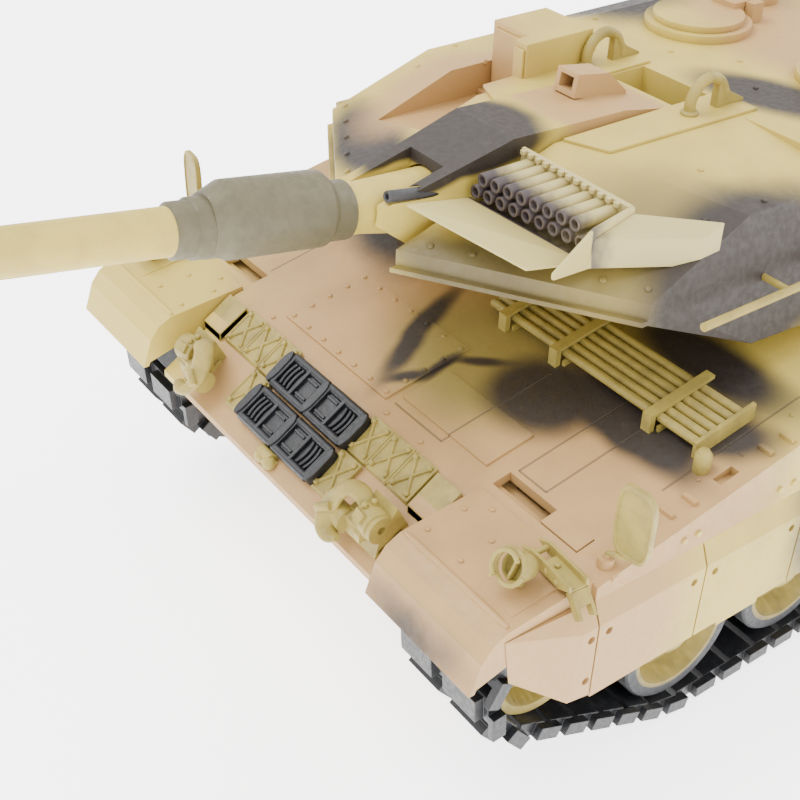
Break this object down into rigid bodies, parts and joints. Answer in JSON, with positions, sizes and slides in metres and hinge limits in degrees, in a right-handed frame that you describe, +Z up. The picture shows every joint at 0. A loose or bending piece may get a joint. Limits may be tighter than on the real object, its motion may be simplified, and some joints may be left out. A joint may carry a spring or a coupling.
{
  "type": "rc tank",
  "caption": "Radio-controlled model battle tank with turning turret, elevating gun, wedge cheek armour, skirts and linked tracks.",
  "frame": {"origin": "point on the ground midway between the two tracks, on the hull's centre line, at mid hull length", "axes": "+Z up, -Y towards the bow and the gun muzzle, +X to the tank's left side"},
  "size_m": [0.2518, 0.6899, 0.2171],
  "materials": {
    "camo_plastic": "matte airbrushed camouflage in sand, pink-sand and dark grey-brown",
    "detail_plastic": "matte olive-yellow",
    "launcher_plastic": "matte grey fading to cream",
    "mantlet_plastic": "matte grey and pink-sand",
    "barrel_metal": "matte paint on an aluminium tube",
    "track_metal": "blue-black satin plastic links",
    "wheel_rubber": "grey rubber-like tyre on an olive disc",
    "steel": "plain gearbox and shafts",
    "inner_plastic": "plain",
    "dark_plastic": "matte dark grey"
  },
  "bodies": {
    "hull": {"lower_hull": "camo_plastic", "upper_hull": "camo_plastic", "front_mudguards": "camo_plastic", "side_skirts": "camo_plastic", "swing_arms": "detail_plastic", "return_rollers": "detail_plastic", "track_left": "track_metal", "track_right": "track_metal", "gearmotors": "steel", "battery_pack": "inner_plastic", "control_board": "inner_plastic", "speaker": "inner_plastic", "tow_gear": "detail_plastic", "spare_track_links": "track_metal", "grouser_plates": "detail_plastic", "headlamps": "detail_plastic", "folding_brackets": "detail_plastic", "rod_rack": "detail_plastic", "rear_fittings": "detail_plastic"},
    "turret": {"turret_shell": "camo_plastic", "wedge_armour": "camo_plastic", "smoke_launchers": "launcher_plastic", "lifting_hooks": "detail_plastic", "grab_rails": "detail_plastic", "bustle_rack": "camo_plastic", "sight_housing": "camo_plastic", "antennas": "dark_plastic"},
    "gun_mount": {"gun_mantlet": "mantlet_plastic", "coax_tube": "mantlet_plastic"},
    "barrel": {"gun_barrel": "barrel_metal"},
    "driver_hatch": {"driver_hatch": "camo_plastic"},
    "mirror_left": {"mirror_left": "detail_plastic"},
    "mirror_right": {"mirror_right": "detail_plastic"},
    "commander_hatch": {"commander_hatch": "camo_plastic"},
    "loader_hatch": {"loader_hatch": "camo_plastic"},
    "panoramic_sight": {"panoramic_sight": "camo_plastic"},
    "mg_mount": {"mg_mount": "dark_plastic"},
    "machine_gun": {"machine_gun": "dark_plastic"},
    "wheel_left_1": {"road_wheel_left_1": "wheel_rubber"},
    "wheel_left_2": {"road_wheel_left_2": "wheel_rubber"},
    "wheel_left_3": {"road_wheel_left_3": "wheel_rubber"},
    "wheel_left_4": {"road_wheel_left_4": "wheel_rubber"},
    "wheel_left_5": {"road_wheel_left_5": "wheel_rubber"},
    "wheel_left_6": {"road_wheel_left_6": "wheel_rubber"},
    "wheel_left_7": {"road_wheel_left_7": "wheel_rubber"},
    "sprocket_left": {"sprocket_left": "detail_plastic"},
    "idler_left": {"idler_left": "detail_plastic"},
    "wheel_right_1": {"road_wheel_right_1": "wheel_rubber"},
    "wheel_right_2": {"road_wheel_right_2": "wheel_rubber"},
    "wheel_right_3": {"road_wheel_right_3": "wheel_rubber"},
    "wheel_right_4": {"road_wheel_right_4": "wheel_rubber"},
    "wheel_right_5": {"road_wheel_right_5": "wheel_rubber"},
    "wheel_right_6": {"road_wheel_right_6": "wheel_rubber"},
    "wheel_right_7": {"road_wheel_right_7": "wheel_rubber"},
    "sprocket_right": {"sprocket_right": "detail_plastic"},
    "idler_right": {"idler_right": "detail_plastic"}
  },
  "joints": [
    {"name": "wheel_left_1_spin", "type": "hinge", "parent": "hull", "child": "wheel_left_1", "pos_m": [0.0896, -0.142, 0.0317], "axis": [1, 0, 0], "continuous": true},
    {"name": "wheel_left_2_spin", "type": "hinge", "parent": "hull", "child": "wheel_left_2", "pos_m": [0.0896, -0.0885, 0.0317], "axis": [1, 0, 0], "continuous": true},
    {"name": "wheel_left_3_spin", "type": "hinge", "parent": "hull", "child": "wheel_left_3", "pos_m": [0.0896, -0.035, 0.0317], "axis": [1, 0, 0], "continuous": true},
    {"name": "wheel_left_4_spin", "type": "hinge", "parent": "hull", "child": "wheel_left_4", "pos_m": [0.0896, 0.0185, 0.0317], "axis": [1, 0, 0], "continuous": true},
    {"name": "wheel_left_5_spin", "type": "hinge", "parent": "hull", "child": "wheel_left_5", "pos_m": [0.0896, 0.072, 0.0317], "axis": [1, 0, 0], "continuous": true},
    {"name": "wheel_left_6_spin", "type": "hinge", "parent": "hull", "child": "wheel_left_6", "pos_m": [0.0896, 0.1255, 0.0317], "axis": [1, 0, 0], "continuous": true},
    {"name": "wheel_left_7_spin", "type": "hinge", "parent": "hull", "child": "wheel_left_7", "pos_m": [0.0896, 0.179, 0.0317], "axis": [1, 0, 0], "continuous": true},
    {"name": "sprocket_left_spin", "type": "hinge", "parent": "hull", "child": "sprocket_left", "pos_m": [0.0896, 0.222, 0.055], "axis": [1, 0, 0], "continuous": true},
    {"name": "idler_left_spin", "type": "hinge", "parent": "hull", "child": "idler_left", "pos_m": [0.0896, -0.2, 0.055], "axis": [1, 0, 0], "continuous": true},
    {"name": "wheel_right_1_spin", "type": "hinge", "parent": "hull", "child": "wheel_right_1", "pos_m": [-0.0896, -0.142, 0.0317], "axis": [1, 0, 0], "continuous": true},
    {"name": "wheel_right_2_spin", "type": "hinge", "parent": "hull", "child": "wheel_right_2", "pos_m": [-0.0896, -0.0885, 0.0317], "axis": [1, 0, 0], "continuous": true},
    {"name": "wheel_right_3_spin", "type": "hinge", "parent": "hull", "child": "wheel_right_3", "pos_m": [-0.0896, -0.035, 0.0317], "axis": [1, 0, 0], "continuous": true},
    {"name": "wheel_right_4_spin", "type": "hinge", "parent": "hull", "child": "wheel_right_4", "pos_m": [-0.0896, 0.0185, 0.0317], "axis": [1, 0, 0], "continuous": true},
    {"name": "wheel_right_5_spin", "type": "hinge", "parent": "hull", "child": "wheel_right_5", "pos_m": [-0.0896, 0.072, 0.0317], "axis": [1, 0, 0], "continuous": true},
    {"name": "wheel_right_6_spin", "type": "hinge", "parent": "hull", "child": "wheel_right_6", "pos_m": [-0.0896, 0.1255, 0.0317], "axis": [1, 0, 0], "continuous": true},
    {"name": "wheel_right_7_spin", "type": "hinge", "parent": "hull", "child": "wheel_right_7", "pos_m": [-0.0896, 0.179, 0.0317], "axis": [1, 0, 0], "continuous": true},
    {"name": "sprocket_right_spin", "type": "hinge", "parent": "hull", "child": "sprocket_right", "pos_m": [-0.0896, 0.222, 0.055], "axis": [1, 0, 0], "continuous": true},
    {"name": "idler_right_spin", "type": "hinge", "parent": "hull", "child": "idler_right", "pos_m": [-0.0896, -0.2, 0.055], "axis": [1, 0, 0], "continuous": true},
    {"name": "turret_traverse", "type": "hinge", "parent": "hull", "child": "turret", "pos_m": [0, -0.028, 0.11], "axis": [0, 0, 1], "range_deg": [-160, 160]},
    {"name": "gun_elevation", "type": "hinge", "parent": "turret", "child": "gun_mount", "pos_m": [0, -0.088, 0.1363], "axis": [-1, 0, 0], "range_deg": [-12.5, 8.5]},
    {"name": "barrel_recoil", "type": "slide", "parent": "gun_mount", "child": "barrel", "axis": [0, 0.9863, -0.165], "range_m": [0, 0.005], "stiffness_N_per_m": 200, "springref_m": -0.003},
    {"name": "driver_hatch_swing", "type": "hinge", "parent": "hull", "child": "driver_hatch", "pos_m": [-0.056, -0.129, 0.10559], "axis": [0, -0.1867, 0.9824], "range_deg": [-100, 0]},
    {"name": "mirror_left_fold", "type": "hinge", "parent": "hull", "child": "mirror_left", "pos_m": [0.1132, -0.19, 0.1], "axis": [0, 0, 1], "range_deg": [0, 90]},
    {"name": "mirror_right_fold", "type": "hinge", "parent": "hull", "child": "mirror_right", "pos_m": [-0.1132, -0.19, 0.1], "axis": [0, 0, -1], "range_deg": [0, 90]},
    {"name": "commander_hatch_lift", "type": "hinge", "parent": "turret", "child": "commander_hatch", "pos_m": [-0.034, 0.006, 0.1705], "axis": [-1, 0, 0], "range_deg": [0, 95]},
    {"name": "loader_hatch_lift", "type": "hinge", "parent": "turret", "child": "loader_hatch", "pos_m": [0.034, 0.012, 0.1705], "axis": [-1, 0, 0], "range_deg": [0, 95]},
    {"name": "panoramic_sight_turn", "type": "hinge", "parent": "turret", "child": "panoramic_sight", "pos_m": [-0.044, 0.026, 0.17], "axis": [0, 0, 1], "continuous": true},
    {"name": "mg_traverse", "type": "hinge", "parent": "turret", "child": "mg_mount", "pos_m": [0.06, 0.006, 0.17], "axis": [0, 0, 1], "range_deg": [-90, 90]},
    {"name": "mg_elevation", "type": "hinge", "parent": "mg_mount", "child": "machine_gun", "pos_m": [0.06, 0.006, 0.1845], "axis": [-1, 0, 0], "range_deg": [-10, 50]}
  ],
  "couplings": [
    {"joint": "wheel_left_1_spin", "follows": "sprocket_left_spin", "ratio": 0.81897},
    {"joint": "wheel_left_2_spin", "follows": "sprocket_left_spin", "ratio": 0.81897},
    {"joint": "wheel_left_3_spin", "follows": "sprocket_left_spin", "ratio": 0.81897},
    {"joint": "wheel_left_4_spin", "follows": "sprocket_left_spin", "ratio": 0.81897},
    {"joint": "wheel_left_5_spin", "follows": "sprocket_left_spin", "ratio": 0.81897},
    {"joint": "wheel_left_6_spin", "follows": "sprocket_left_spin", "ratio": 0.81897},
    {"joint": "wheel_left_7_spin", "follows": "sprocket_left_spin", "ratio": 0.81897},
    {"joint": "idler_left_spin", "follows": "sprocket_left_spin", "ratio": 1},
    {"joint": "wheel_right_1_spin", "follows": "sprocket_right_spin", "ratio": 0.81897},
    {"joint": "wheel_right_2_spin", "follows": "sprocket_right_spin", "ratio": 0.81897},
    {"joint": "wheel_right_3_spin", "follows": "sprocket_right_spin", "ratio": 0.81897},
    {"joint": "wheel_right_4_spin", "follows": "sprocket_right_spin", "ratio": 0.81897},
    {"joint": "wheel_right_5_spin", "follows": "sprocket_right_spin", "ratio": 0.81897},
    {"joint": "wheel_right_6_spin", "follows": "sprocket_right_spin", "ratio": 0.81897},
    {"joint": "wheel_right_7_spin", "follows": "sprocket_right_spin", "ratio": 0.81897},
    {"joint": "idler_right_spin", "follows": "sprocket_right_spin", "ratio": 1}
  ]
}
